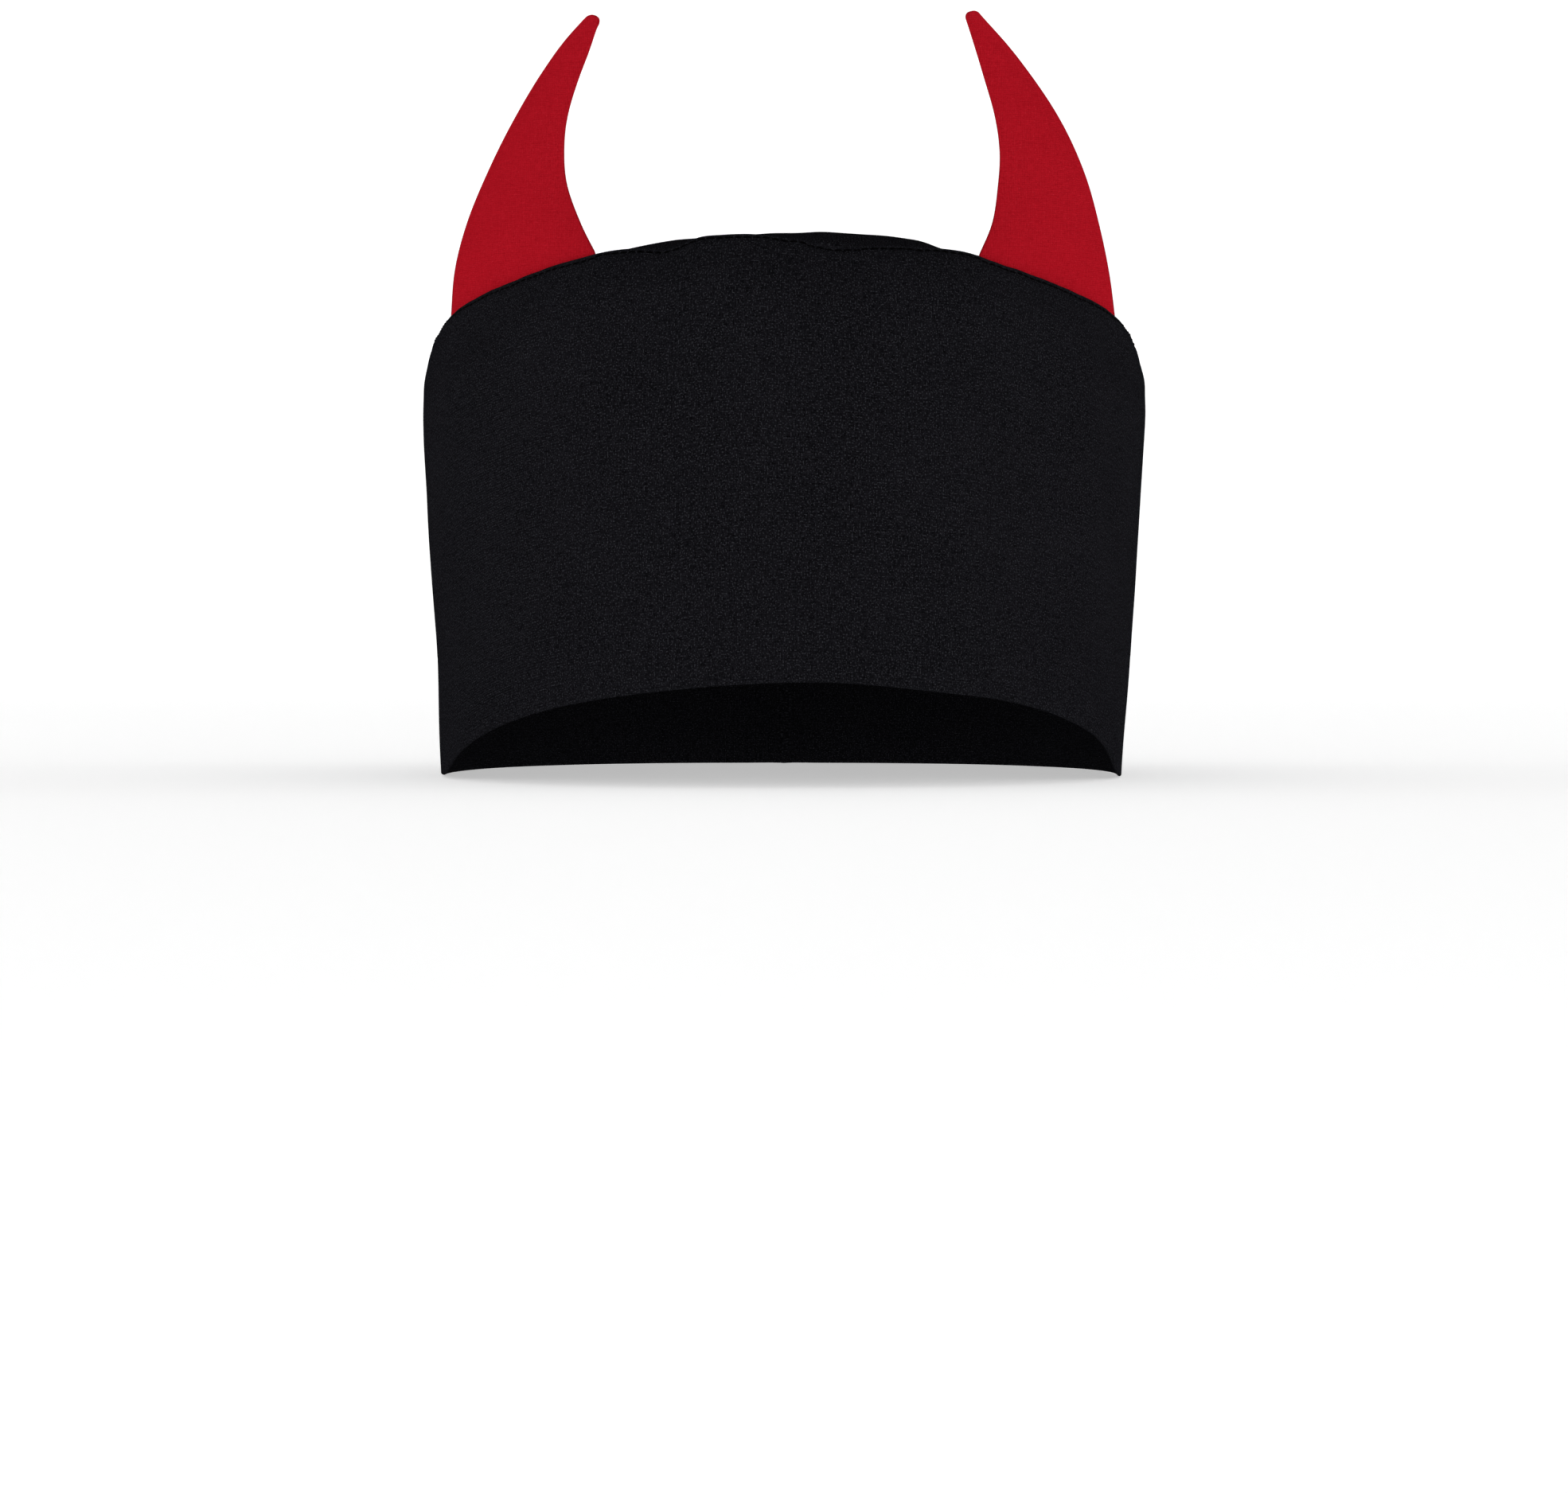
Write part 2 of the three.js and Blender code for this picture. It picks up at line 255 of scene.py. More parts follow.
seamWaves = [  # degrees from the front, rise above the plain rule in millimetres
    (-90, 0), (-66, 0.1), (-39, -0.3), (-30, 0.25), (-19.8, 0.6), (-15.2, -0.35), (-10.8, 1.8), (-8.5, 2.05),
    (-4.7, 2.15), (0, 1.3), (4.7, 0.8), (7, 0.7), (9.8, 0.15), (15.7, 0.3), (26.3, 0.45), (28.3, -0.1),
    (33, -0.6), (44.7, -0.95), (55, -0.5), (90, 0),
]
rimWaves = [  # the same for the rim: the arch stands a little to the right
    (-90, 0), (-62, 1.1), (-44, 0.1), (-18, -1.1), (6, -0.2), (20, -0.5), (30, 0.45), (45, 1.5), (54, 2.0),
    (68, 0.8), (80, 0), (90, 0),
]


def ovalPlan(turn, oval, power=planPower):
    halfWidth, halfFront, halfBack = oval
    ahead = cosine(turn)
    halfLength = mix(halfBack, halfFront, above(ahead, 0.0))
    across = abs(sine(turn) / halfWidth) ** power
    along = abs(ahead / halfLength) ** power
    reach = (across + along) ** (-1.0 / power)
    return reach * sine(turn), -reach * ahead


def rimHeight(turn, form):
    ahead = -ovalPlan(turn, rimOval, form["Plan Power"])[1] - form["Arch From"]
    ease = form["Arch Ease"]
    slope = form["Arch Height"] / (rimOval[1] - form["Arch From"] - ease / 2)
    bend = smaller(larger(ahead, 0.0), ease)
    return slope * (bend * bend / (2 * ease) + larger(ahead - ease, 0.0))


def seamSurface(along, form):
    ease = form["Slope Ease"]
    middle = (form["Front Slope"] + form["Back Slope"]) / 2
    change = (form["Front Slope"] - form["Back Slope"]) / 2
    return form["Seam Height"] - middle * along + change * (root(along * along + ease * ease) - ease)


def bell(offset, spread):
    return np.exp(-(offset / spread) ** 2)


def turnFrom(turn, degrees):  # in degrees, the short way round
    return (np.degrees(turn) - degrees + 180) % 360 - 180


def smoothThrough(x, stops, values):
    stops, values = np.asarray(stops, float), np.asarray(values, float)
    slopes = np.gradient(values, stops)
    x = np.clip(x, stops[0], stops[-1])
    k = np.clip(np.searchsorted(stops, x) - 1, 0, len(stops) - 2)
    step = stops[k + 1] - stops[k]
    t = (x - stops[k]) / step
    first = (1 + 2 * t) * (1 - t) ** 2 * values[k] + t * (1 - t) ** 2 * step * slopes[k]
    return first + t * t * (3 - 2 * t) * values[k + 1] + t * t * (t - 1) * step * slopes[k + 1]


def insetSeam(inset):  # the seam's oval, drawn in
    return [half - inset for half in seamOval]


def riseAlong(places, waves):  # from a list of places and rises in millimetres
    return smoothThrough(places, *zip(*waves)) * mm


def seamWave(turn):
    return riseAlong(np.degrees(turn), seamWaves)


def seamHeight(turn):
    return seamSurface(ovalPlan(turn, seamOval)[1], capForm) + seamWave(turn)


seedSteps = (3.1, 7.7, 1.3)  # each seed reads the noise at another place


# Soft unevenness in layers of size, upright stretch, share and seed
def unevenness(points, layers):
    total = np.zeros(points.shape[:-1])
    for size, upright, share, seed in layers:
        shift = Vector([seed * step for step in seedSteps])
        flat = (points * np.array((1.0, 1.0, upright))).reshape(-1, 3) / size
        rough = np.array([noise.noise(Vector(p) + shift) for p in flat])
        total += share * rough.reshape(total.shape)
    return total


def unit(vectors):
    return vectors / np.linalg.norm(vectors, axis=-1, keepdims=True)


def lengthAlong(points, axis):
    steps = np.linalg.norm(np.diff(points, axis=axis), axis=-1)
    start = np.zeros_like(np.take(steps, [0], axis=axis))
    return np.concatenate([start, np.cumsum(steps, axis=axis)], axis=axis)


def gridNormals(points):  # columns wrap round the cap, rows don't
    around = np.roll(points, -1, axis=0) - np.roll(points, 1, axis=0)
    up = np.gradient(points, axis=1)
    return unit(np.cross(around, up)), unit(up)


def rollEdge(edge, normals, along, wall, steps):  # half round from the outer to the inner face
    middle = edge - normals * wall / 2
    arc = []
    for angle in np.linspace(0, math.pi, steps + 2)[1:-1]:
        arc.append(middle + (normals * math.cos(angle) + along * math.sin(angle)) * wall / 2)
    return np.stack(arc, axis=1)


# Faces of a grid that wraps round the cap, and round the section if closed, with corner columns and rows
def wrapFaces(columns, rows, closed):
    faces, cornerColumns, cornerRows = [], [], []
    for c in range(columns):
        d = (c + 1) % columns
        for r in range(rows if closed else rows - 1):
            s = (r + 1) % rows
            faces.append((c * rows + r, d * rows + r, d * rows + s, c * rows + s))
            cornerColumns.append((c, c + 1, c + 1, c))
            cornerRows.append((r, r, r + 1, r + 1))
    return faces, np.array(cornerColumns), np.array(cornerRows)


def shadeSmooth(mesh):
    mesh.polygons.foreach_set("use_smooth", np.ones(len(mesh.polygons), bool))


def finishMesh(name, points, faces, corners, material, wearAndHighlight=None):
    mesh = bpy.data.meshes.new(name)
    mesh.from_pydata(points.tolist(), [], faces)
    if wearAndHighlight is not None:
        worn = mesh.attributes.new("wearAndHighlight", "FLOAT", "POINT")
        worn.data.foreach_set("value", np.asarray(wearAndHighlight, np.float32).ravel())
    clothMap = mesh.uv_layers.new(name="weave")
    clothMap.data.foreach_set("uv", np.asarray(corners, np.float32).ravel())
    shadeSmooth(mesh)
    mesh.materials.append(material)
    mesh.validate()
    mesh.update()
    return addObject(name, mesh)


def standFor(piece, node):
    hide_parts(node)
    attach(piece, "root")


# Cotton: plain weave on the cloth's own map, with slubs, lint and painted shade between the threads

weave = {  # what both cottons share; scales are per metre of cloth
    "strayScales": (160.0, 190.0),
    "stray": 0.7,  # how far the threads wander, in threads
    "ridgePower": 0.5,  # how round a thread is
    "crossPower": 0.25,  # how it dips where it passes under
    "slubScales": (3200.0, 600.0),  # across and along the threads
    "slubTone": 1.6,
    "longSlubScales": (2300.0, 110.0),
    "longSlubTone": 0.6,
    "fineScale": 3000.0,
    "patchScale": 45.0,
    "patchTone": 2.0,
    "reliefMiddle": 0.6,
    # painted shade: the cloth is darker between the threads and lighter on top of them
    "reliefShadeTone": 0.35,
    # how much paler the band's fold is: wear and a painted highlight
    "wearAndHighlightTone": 0.35,
    "lintScale": 3100.0,
    "lintShift": (0.37, 0.11),  # away from the fine grain's pattern
    "lintEdge": 9.0,  # how sharply the specks start
    "noiseRoughness": 0.55,
    "roughnessSpread": 0.12,
    "gloss": 0.0,
    "slubRelief": 0.5,
    "bumpStrength": 0.8,
}
blackCotton = {
    "name": "blackCotton",
    "dark": (0.0022, 0.0022, 0.0027),
    "light": (0.0103, 0.0102, 0.0125),
    "lint": (0.027, 0.027, 0.0315),
    "lintShare": 0.66,  # higher is less lint
    "pitch": 0.48 * mm,
    "grain": 1.05,
    "threadTone": 0.72,
    "mottling": 0.12,
    "weaveDepth": 0.10 * mm,
    "roughness": 0.88,
}
redCotton = {
    "name": "redCotton",
    "dark": (0.300, 0.0034, 0.0086),
    "light": (0.462, 0.0092, 0.0192),
    "lint": (0.47, 0.016, 0.028),
    "lintShare": 0.78,
    "pitch": 0.42 * mm,
    "grain": 0.7,
    "threadTone": 0.35,
    "mottling": 0.14,
    "weaveDepth": 0.07 * mm,
    "roughness": 0.84,
}
blackThread = {
    "name": "blackThread",
    # darker than the cloth: the thread's own black, with painted shade for the needle holes it lies in
    "dark": (0.0005, 0.0005, 0.0006),
    "light": (0.0024, 0.0024, 0.0028),
    "roughness": 0.8,
    "gloss": 0.01,
    "twists": 5200.0,
    "twistDepth": 0.05 * mm,
    "bumpStrength": 0.5,
}


def newMaterial(name):
    material = bpy.data.materials.new(name)
    material.use_nodes = True
    tree = material.node_tree
    return material, tree, tree.nodes["Principled BSDF"]


def bumped(strength, depth, height):
    settings = {"Strength": strength, "Distance": depth, "Height": height}
    return out(addNode(height.tree, "ShaderNodeBump", settings))


def noiseField(x, y, scale=1.0, detail=2.0):
    settings = {"Vector": combine(x.tree, x, y, 0.0), "Scale": scale, "Detail": detail}
    settings["Roughness"] = weave["noiseRoughness"]
    return out(addNode(x.tree, "ShaderNodeTexNoise", settings, noise_dimensions="2D"))


def blend(share, a, b):
    node = addNode(share.tree, "ShaderNodeMix", data_type="RGBA")
    for key, value in ((0, share), (6, a), (7, b)):
        plug(node.inputs[key], value if isinstance(value, Field) else (*value, 1.0))
    return out(node, 2)


# Height of the plain weave, from nought between the threads to one on top of them
def weaveRelief(u, v, pitch):
    stray = weave["stray"] * pitch
    scaleU, scaleV = weave["strayScales"]
    threadU = (u + (noiseField(u, v, scaleU) - 0.5) * stray) / pitch
    threadV = (v + (noiseField(v, u, scaleV) - 0.5) * stray) / pitch
    ridgeU = abs(sine(threadU * math.pi))
    ridgeV = abs(sine(threadV * math.pi))
    checks = wholePart(threadU) + wholePart(threadV)
    over = abs(checks - 2.0 * wholePart(checks / 2.0))
    warp = ridgeU ** weave["ridgePower"] * ridgeV ** weave["crossPower"]
    weft = ridgeV ** weave["ridgePower"] * ridgeU ** weave["crossPower"]
    return mix(warp, weft, over)


def slubField(u, v, scales):  # streaks along the warp and the weft, about one in the middle
    across, along = scales
    return noiseField(u * across, v * along) + noiseField(u * along, v * across)


def cottonMaterial(cloth):
    material, tree, shader = newMaterial(cloth["name"])
    u, v = separate(out(addNode(tree, "ShaderNodeUVMap", uv_map="weave")))[:2]
    relief = weaveRelief(u, v, cloth["pitch"])
    slubs = slubField(u, v, weave["slubScales"])
    longSlubs = slubField(u, v, weave["longSlubScales"])
    fine = noiseField(u, v, weave["fineScale"], 1.0)
    patches = noiseField(u, v, weave["patchScale"], 3.0)
    # the band's fold is paler: partly wear, partly a painted highlight where it catches the light
    worn = out(addNode(tree, "ShaderNodeAttribute", attribute_name="wearAndHighlight"), "Fac")
    tone = 0.5 + (slubs - 1.0) * (cloth["threadTone"] * weave["slubTone"])
    tone = tone + (longSlubs - 1.0) * (cloth["threadTone"] * weave["longSlubTone"])
    tone = tone + (fine - 0.5) * cloth["grain"] + (patches - 0.5) * (cloth["mottling"] * weave["patchTone"])
    # painted shade between the threads, from the weave's height
    tone = tone + (relief - weave["reliefMiddle"]) * weave["reliefShadeTone"] + worn * weave["wearAndHighlightTone"]
    ground = blend(noughtToOne(tone), cloth["dark"], cloth["light"])
    shiftU, shiftV = weave["lintShift"]
    specks = noiseField(u + shiftU, v + shiftV, weave["lintScale"], 0.0)
    lint = noughtToOne((specks - cloth["lintShare"]) * weave["lintEdge"])
    setInputs(shader, {
        "Base Color": blend(lint, ground, cloth["lint"]),
        "Roughness": cloth["roughness"] + (fine - 0.5) * weave["roughnessSpread"],
        "Specular IOR Level": weave["gloss"],
        "Normal": bumped(weave["bumpStrength"], cloth["weaveDepth"], relief + slubs * weave["slubRelief"]),
    })
    return material


def threadMaterial(thread):
    material, tree, shader = newMaterial(thread["name"])
    x, y, z = separate(out(addNode(tree, "ShaderNodeTexCoord"), "Object"))
    strands = 0.5 + 0.5 * sine((x + y + z) * thread["twists"])
    setInputs(shader, {
        # painted shade: darker in the grooves of the twist, lighter on its ridges
        "Base Color": blend(strands, thread["dark"], thread["light"]),
        "Roughness": thread["roughness"],
        "Specular IOR Level": thread["gloss"],
        "Normal": bumped(thread["bumpStrength"], thread["twistDepth"], strands),
    })
    return material


blackCloth = cottonMaterial(blackCotton)
redCloth = cottonMaterial(redCotton)
blackSewing = threadMaterial(blackThread)
print("materials: black cotton, red cotton, black thread")


def gridSizes(piece, own):  # one column more, to meet the first
    size = {"Columns": piece["columns"] + 1, "Rows": piece["rows"], "Row Gather": piece["rowGather"]}
    return {**capForm, **size, **own, "Cloth Material": blackCloth}


# Band: a deep wall of cloth, turned at the rim and folded over at the crown seam

band = {
    "columns": 840,
    "rows": 60,
    "rowGather": 0.85,  # how far the rows crowd up to the seam
    "innerRows": 16,
    "rollSteps": 5,
    "rimShare": 0.0058,  # where the rim's roll starts
    "topShare": 0.997,  # where the fold at the seam starts
    "wall": 1.8 * mm,
    "rimWall": 0.9 * mm,
    "rimEase": 3.0 * mm,  # over which the wall thins to the turned rim
    "foldWall": 0.9 * mm,
    "foldEase": 5.0 * mm,  # over which the wall thins to the fold
    "foldStand": 0.3 * mm,  # the fold stands up above the stitching
    "stitchDrop": 0.95 * mm,  # below the fold
    "stitchLift": 0.03 * mm,
    "grooveDepth": 0.22 * mm,
    "grooveWidth": 0.45 * mm,
    "wearAndHighlightFade": 0.6 * mm,  # the fold is rubbed a little paler and painted lighter as a highlight, over this distance
    "puckers": [(3.4 * mm, 1.0, 1.0, 5), (8.0 * mm, 1.0, 0.7, 6)],  # size, upright stretch, share, seed
    "puckerDepth": 0.30 * mm,
    "puckerFade": 7.0 * mm,
    "puckerFull": 0.5 * mm,  # below the fold, where the puckers reach their depth
    "puckerAtFold": 0.35,
    "uneven": [(42.0 * mm, 0.6, 1.0, 1), (19.0 * mm, 1.0, 0.5, 2)],  # listed like puckers
    "unevenDepth": 0.7 * mm,
    "rimKeep": 0.2,  # share of the height that the rim steadies
    "foldKeep": 0.15,
    "sideTaut": 0.6,  # how much steadier the cloth is at the sides
    "sideSpread": 12.0,  # degrees
    "slackBehind": 0.8,  # how much looser the cloth hangs at the back
    "slackFrom": 95.0,  # degrees from the front
    "slackOver": 40.0,
    "backRadius": 95.0 * mm,
    "backSeamDepth": 0.85 * mm,
    "backSeamWidth": 0.6 * mm,
    "backSeamFade": 0.05,  # share of the height at either end
    "backSeamAtRim": 0.25,
    "turningLift": 0.3 * mm,  # the turnings lift the cloth beside the back seam
    "turningAt": 4.0 * mm,
    "turningSpread": 3.0 * mm,
    "folds": [  # degrees from the front, share, spread, share's spread, lift in millimetres
        (6.4, 0.94, 3.2, 0.12, -1.4), (-50, 0.905, 8, 0.05, -2.3), (-38, 0.96, 9, 0.05, -0.6),
        (55, 0.905, 6, 0.05, -1.9), (42, 0.96, 10, 0.05, -0.6), (29, 0.45, 7, 0.2, -1.1),
        (45, 0.55, 5, 0.3, 0.7), (-35, 0.78, 12, 0.1, -0.6), (-12, 0.35, 14, 0.2, 0.6),
        (66, 0.86, 3, 0.03, -0.5), (-90, 0.04, 30, 0.2, 1.0), (90, 0.04, 30, 0.2, -0.4),
        (-90, 0.85, 18, 0.1, 0.4), (90, 0.87, 15, 0.07, 0.5), (88, 0.945, 14, 0.03, 0.65),
        (-88, 0.945, 14, 0.03, 0.35), (-52, 0.84, 12, 0.05, 0.9), (54, 0.83, 10, 0.05, 0.9),
        (150, 0.5, 8, 0.4, 0.8), (-160, 0.45, 7, 0.45, -0.9), (-128, 0.6, 9, 0.3, 0.8),
        (124, 0.4, 10, 0.35, -0.8),
    ],
}


def bandTree(sizes):
    tree, size = geometryTree("bandForm", sizes)
    grid, turn, step = startGrid(tree, size)
    share = mix(size["Rim Share"], size["Top Share"], step)
    stops, *halves = zip(*bandSections)
    oval = [tableCurve(share, stops, half) for half in halves]
    x, y = ovalPlan(turn, oval, size["Plan Power"])
    seamAlong = ovalPlan(turn, seamOval, size["Plan Power"])[1]
    z = mix(rimHeight(turn, size), seamSurface(seamAlong, size), share)
    endGrid(tree, size, grid, turn, share, combine(tree, x, y, z))
    return tree


# Lets the seam and the rim wave, and lays the folds, the loose cloth and the back seam on the plain form
def dressBand(points, turn, share):
    points = points.copy()
    points[..., 2] += seamWave(turn) * share + riseAlong(np.degrees(turn), rimWaves) * (1 - share) ** 2
    normals = gridNormals(points)[0]
    lift = np.zeros(turn.shape)
    for at, middle, spread, reach, height in band["folds"]:
        lift += height * mm * bell(turnFrom(turn, at), spread) * bell(share - middle, reach)
    offFront = np.abs(np.degrees(turn))
    keep = np.clip(share / band["rimKeep"], 0, 1) * np.clip((1 - share) / band["foldKeep"], 0, 1)
    sides = 1 - band["sideTaut"] * bell(offFront - 90, band["sideSpread"])
    behind = 1 + band["slackBehind"] * np.clip((offFront - band["slackFrom"]) / band["slackOver"], 0, 1)
    lift += band["unevenDepth"] * unevenness(points, band["uneven"]) * keep * sides * behind
    backGap = (np.pi - np.abs(turn)) * band["backRadius"]  # from the sewn line at the back
    backSeam = band["turningLift"] * bell(backGap - band["turningAt"], band["turningSpread"])
    backSeam -= band["backSeamDepth"] * bell(backGap, band["backSeamWidth"])
    atRim = np.clip(share / band["backSeamFade"], band["backSeamAtRim"], 1)
    lift += backSeam * atRim * np.clip((1 - share) / band["backSeamFade"], 0, 1)
    return points + normals * lift[..., None]


# Stands the fold up, sinks the stitched groove and gathers the cloth below it
def sewFold(dressed, below):
    path = lengthAlong(dressed[:, -1:], 0)
    pucker = unevenness(np.stack([path, path * 0, path * 0], -1), band["puckers"])
    plain = dressed.copy()
    plain[..., 2] += band["foldStand"] * np.clip(1 - below / band["stitchDrop"], 0, 1)
    normals, up = gridNormals(plain)
    gather = np.clip(below / band["puckerFull"], band["puckerAtFold"], 1)
    lift = band["puckerDepth"] * pucker * gather * np.exp(-below / band["puckerFade"])
    lift -= band["grooveDepth"] * bell(below - band["stitchDrop"], band["grooveWidth"])
    return plain, plain + normals * lift[..., None], normals, up


# Closed section: up the outer face, over the fold, down the inner face and round the turned rim
def bandSection(plain, outer, normals, up, below):
    wall = mix(band["foldWall"], band["wall"], 1 - np.exp(-below / band["foldEase"]))
    aboveRim = below[:, :1] - below
    wall = mix(band["rimWall"], wall, 1 - np.exp(-aboveRim / band["rimEase"]))
    innerPick = np.linspace(band["rows"] - 1, 0, band["innerRows"]).round().astype(int)
    inner = (plain - normals * wall[..., None])[:, innerPick]
    fold = rollEdge(outer[:, -1], normals[:, -1], up[:, -1], band["foldWall"], band["rollSteps"])
    rim = rollEdge(outer[:, 0], normals[:, 0], -up[:, 0], band["rimWall"], band["rollSteps"])
    section = np.concatenate([outer, fold, inner, rim[:, ::-1]], axis=1)
    section[..., 2] = np.maximum(section[..., 2], 0.0)
    return section


def makeBand(section, below, around):
    faces, cornerColumns, cornerRows = wrapFaces(*section.shape[:2], True)
    ring = np.concatenate([section, section[:, :1]], axis=1)
    upLength = lengthAlong(ring, 1).mean(axis=0)
    corners = np.stack([around[cornerColumns], upLength[cornerRows]], -1)
    # paler down from the fold and over it: wear, and a painted highlight where the fold catches the light
    wearAndHighlight = np.zeros(section.shape[:2])
    wearAndHighlight[:, :band["rows"]] = np.exp(-below / band["wearAndHighlightFade"])
    wearAndHighlight[:, band["rows"]:band["rows"] + band["rollSteps"]] = 1.0
    print("band sewn:", len(faces), "faces")
    return finishMesh("band_cloth", section.reshape(-1, 3), faces, corners, blackCloth, wearAndHighlight)


bandSizes = gridSizes(band, {"Rim Share": band["rimShare"], "Top Share": band["topShare"]})
bandPoints, bandTurn, bandShare = formGrid(bandTree(bandSizes), bandSizes)
bandAround = lengthAlong(bandPoints, 0)[:, band["rows"] // 2]
print("band formed:", bandPoints.shape[:2], "length round %.3f m" % bandAround[-1])
bandDressed = dressBand(bandPoints[:-1], bandTurn[:-1], bandShare[:-1])  # the last column is the first again
below = lengthAlong(bandDressed[:, ::-1], 1)[:, ::-1]  # distance down from the fold
bandPlain, bandOuter, bandNormal, bandUp = sewFold(bandDressed, below)
bandWhole = bandSection(bandPlain, bandOuter, bandNormal, bandUp, below)
bandPiece = makeBand(bandWhole, below, bandAround - bandAround[-1] / 2)
standFor(bandPiece, "band")


# Horns: outlines over the crown seam, each a turned bag of red cotton with a thin filling

horns = {
    "rows": [0, 0.15, 0.31, 0.48, 0.65, 0.80, 0.91, 0.98],  # shares of the height
    "left": {  # edges out from the middle and up, in millimetres
        "side": -1,
        "outerOut": [72.3, 71.4, 68.5, 63.6, 57.8, 51.5, 46.1, 41.95],
        "outerUp": [99.2, 109.9, 120.0, 130.7, 141.3, 151.1, 158.1, 162.35],
        "innerOut": [39.4, 42.7, 45.7, 46.4, 45.6, 43.3, 40.9, 39.45],
        "innerUp": [111.6, 118.3, 126.6, 134.4, 141.9, 149.4, 155.6, 159.95],
        "tip": (39.5, 162.4),
    },
    "right": {
        "side": 1,
        "outerOut": [71.8, 70.4, 68.0, 64.6, 59.2, 52.7, 46.7, 41.4],
        "outerUp": [100.0, 109.6, 119.9, 130.7, 141.4, 150.5, 157.6, 163.0],
        "innerOut": [40.8, 43.8, 45.1, 45.5, 44.4, 42.2, 40.2, 38.35],
        "innerUp": [111.0, 118.3, 126.5, 134.0, 141.8, 149.4, 155.9, 161.7],
        "tip": (39.3, 163.5),
    },
    "tipAngles": (0.35, 0.7, 1.05, 1.3),  # radians of the rows that round the tip off
    "lean": 8.0,  # degrees back
    "footDepth": np.array([6.2, 5.1, 3.5]) * mm,  # rows of the foot sewn in below the seam
    "footHalf": np.array([1.0, 1.35, 0.55]) * mm,  # it spreads under the fold and the crown's edge
    "footReach": np.radians([2.0, 2.0, 0.0]),  # and beyond the edges
    "footPower": 0.7,  # fuller to the edges than the horn
    "edgeSet": 0.12 * mm,  # how far inside the seam line the edges lie
    "middleSet": 0.9 * mm,
    "slot": 2.1 * mm,  # how far the crown's edge draws back behind the middle
    "bowFade": 3.0,  # how soon the rows straighten above the bowed seam
    "cellsUp": 44,
    "cellsAcross": 16,
    "smoothLevels": 2,
    "profilePower": 2.6,  # how flat the middle of a section is
    "profileEdge": 0.8,  # how round its edges are
    "flatHalf": 0.55 * mm,  # half thickness before filling
    "mostHalf": 2.6 * mm,
    "evenRows": 3.0,  # rows over which the filling evens out
    "fillEase": 16.0 * mm,  # height over which the filling builds up
    "edgeHalf": 0.65 * mm,  # the turned-in seam keeps the edges full
    "edgePower": 12,
    "edgeFrom": 0.4,  # rows above the seam
    "edgeRows": 6,
    "cloth": {  # Blender's own names for the settings of the cloth that is filled
        "quality": 8,
        "mass": 0.3,
        "tension_stiffness": 40.0,
        "compression_stiffness": 40.0,
        "shear_stiffness": 20.0,
        "bending_stiffness": 2.0,
        "shrink_min": -0.03,  # some slack
        "use_pressure": True,
        "uniform_pressure_force": 40.0,
    },
    "frames": 20,
    "simScale": 20.0,
}
seamRow = len(horns["footDepth"])  # the row of a horn that lies on the seam


def hornProfile(across):
    off = np.minimum(1, np.abs(2 * across - 1))
    return (1 - off ** horns["profilePower"]) ** horns["profileEdge"]


# How open the seam is for a horn, from nought to one, starting a little beyond the horn's edges
def slotShare(turn, beyond=0.0):
    x, y = ovalPlan(turn, seamOval)
    share = np.zeros_like(x)
    for horn in (horns["left"], horns["right"]):
        inner, outer = horn["innerOut"][0] * mm - beyond, horn["outerOut"][0] * mm + beyond
        here = (y < 0) & (x * horn["side"] > 0)
        share = np.where(here, hornProfile((np.abs(x) - inner) / (outer - inner)), share)
    return share


def turnOnOval(outward, oval, side):
    share = np.clip(outward / oval[0], 0, 1) ** planPower
    return side * np.arctan2(outward, oval[1] * (1 - share) ** (1 / planPower))


# Sets a horn's points just inside the seam line, half a thickness out from its middle and leaning back
def placeOnSeam(outward, half, up, side):
    seamTurn = turnOnOval(outward, seamOval, side)
    inset = mix(horns["edgeSet"], horns["middleSet"], slotShare(seamTurn))
    oval = insetSeam(inset)
    turn = turnOnOval(outward, oval, side)
    plan = np.stack(ovalPlan(turn, oval), -1)
    sizes = np.stack(oval[:2], -1)
    away = unit(np.sign(plan) * np.abs(plan / sizes) ** (planPower - 1) / sizes)
    x, y = np.moveaxis(plan + away * half[..., None], -1, 0)
    back = np.maximum(0, up - seamHeight(turn)) * math.tan(math.radians(horns["lean"]))
    return np.stack([x, y + back, up], -1)


# Pattern of a horn as a grid in the flat, out and up, from the foot to just below the tip
def hornPattern(horn):
    share = np.linspace(0, horns["rows"][-1], horns["cellsUp"])[:, None]
    wide = np.linspace(0, 1, horns["cellsAcross"] + 1)
    edge = {key: smoothThrough(share, horns["rows"], horn[key]) * mm
            for key in ("innerOut", "outerOut", "innerUp", "outerUp")}
    outward = mix(edge["innerOut"], edge["outerOut"], wide)
    up = mix(edge["innerUp"], edge["outerUp"], wide)
    baseTurn = turnOnOval(outward[:1], seamOval, horn["side"])
    up = up + (seamHeight(baseTurn) - up[:1]) * (1 - share) ** horns["bowFade"]
    footTurn = baseTurn + horn["side"] * horns["footReach"][:, None] * (2 * wide - 1)
    footOut = np.abs(ovalPlan(footTurn, seamOval)[0])
    footUp = seamHeight(footTurn) - horns["footDepth"][:, None]
    flat = np.stack([np.concatenate([footOut, outward]), np.concatenate([footUp, up])], -1)
    tip = np.array(horn["tip"]) * mm
    middle, half = (flat[-1, 0] + flat[-1, -1]) / 2, (flat[-1, -1] - flat[-1, 0]) / 2
    caps = []
    for angle in horns["tipAngles"]:
        reach = half * math.cos(angle) * (2 * wide[:, None] - 1)
        caps.append(middle + (tip - middle) * math.sin(angle) + reach)
    return np.concatenate([flat, np.stack(caps)]), tip


